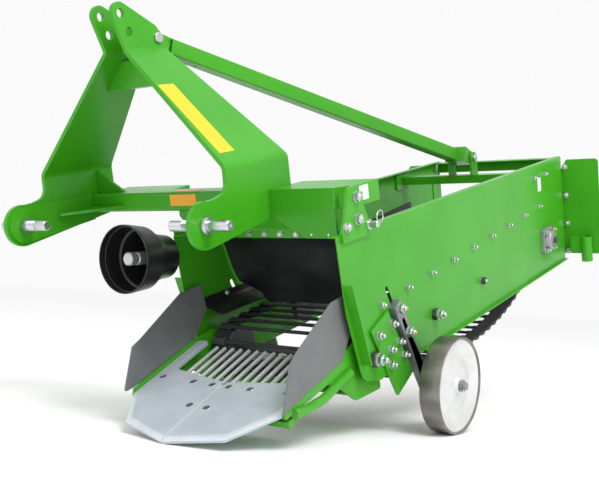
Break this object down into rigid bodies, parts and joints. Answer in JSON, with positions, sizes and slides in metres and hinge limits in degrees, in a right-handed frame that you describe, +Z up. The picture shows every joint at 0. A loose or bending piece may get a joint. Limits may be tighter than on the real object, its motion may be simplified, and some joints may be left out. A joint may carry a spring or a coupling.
{
  "type": "potato harvester",
  "caption": "Single-row potato digger for a three-point linkage: green mast and side walls, pointed share, rod elevator web, rubber curtain, depth wheels and shaft drive.",
  "frame": {"origin": "on the floor under the centre of the bounding box, at the lowest point of the wheels and the share", "axes": "+X to the machine's left, +Y to its rear end, +Z up; the share and the linkage face -Y"},
  "size_m": [1.192, 1.9794, 1.102],
  "materials": {
    "green_paint": "glossy bright green powder coat",
    "rubber": "black sheet rubber",
    "web_rubber": "black rubber belts with black coated rods",
    "black_plastic": "black moulded plastic",
    "share_steel": "light grey bare or primed steel",
    "zinc": "zinc plated",
    "wheel_steel": "silver grey disc, worn tread",
    "bare_steel": "bare steel",
    "gearbox_casting": "grey cast iron"
  },
  "bodies": {
    "machine": {"cross_beam": "green_paint", "curtain": "rubber", "curtain_bar": "green_paint", "drive_shaft": "bare_steel", "flange_bearing": "zinc", "front_roller": "bare_steel", "gearbox": "gearbox_casting", "hitch_box": "green_paint", "line_shaft_tube": "green_paint", "lower_pin_left": "zinc", "lower_pin_right": "zinc", "mast_plate_left": "green_paint", "mast_plate_right": "green_paint", "mast_spreader": "green_paint", "pto_guard": "black_plastic", "rear_cross_angle": "green_paint", "rear_cross_bar": "green_paint", "rear_wing_left": "green_paint", "rear_wing_right": "green_paint", "share_frame": "green_paint", "share_left": "share_steel", "share_right": "share_steel", "share_rods": "share_steel", "share_side_left": "share_steel", "share_side_right": "share_steel", "side_flap_left": "rubber", "side_flap_right": "rubber", "side_wall_left": "green_paint", "side_wall_right": "green_paint", "stay_pin_front": "zinc", "stay_pin_rear": "zinc", "support_roller_front": "bare_steel", "support_roller_rear": "bare_steel", "top_stay": "green_paint", "web": "web_rubber", "web_guard_plate": "green_paint", "wheel_arm_left": "bare_steel", "wheel_arm_right": "bare_steel", "wheel_bracket_left": "green_paint", "wheel_bracket_right": "green_paint"},
    "wheel_left": {"wheel_left": "wheel_steel"},
    "wheel_right": {"wheel_right": "wheel_steel"},
    "pto_shaft": {"pto_shaft": "bare_steel"}
  },
  "joints": [
    {"name": "wheel_left_spin", "type": "hinge", "parent": "machine", "child": "wheel_left", "pos_m": [0.549, -0.22594, 0.135], "axis": [1, 0, 0], "continuous": true},
    {"name": "wheel_right_spin", "type": "hinge", "parent": "machine", "child": "wheel_right", "pos_m": [-0.173, -0.22594, 0.135], "axis": [1, 0, 0], "continuous": true},
    {"name": "pto_shaft_spin", "type": "hinge", "parent": "machine", "child": "pto_shaft", "pos_m": [-0.113, -0.8423, 0.42933], "axis": [0, 0.9933, 0.1154], "continuous": true}
  ]
}
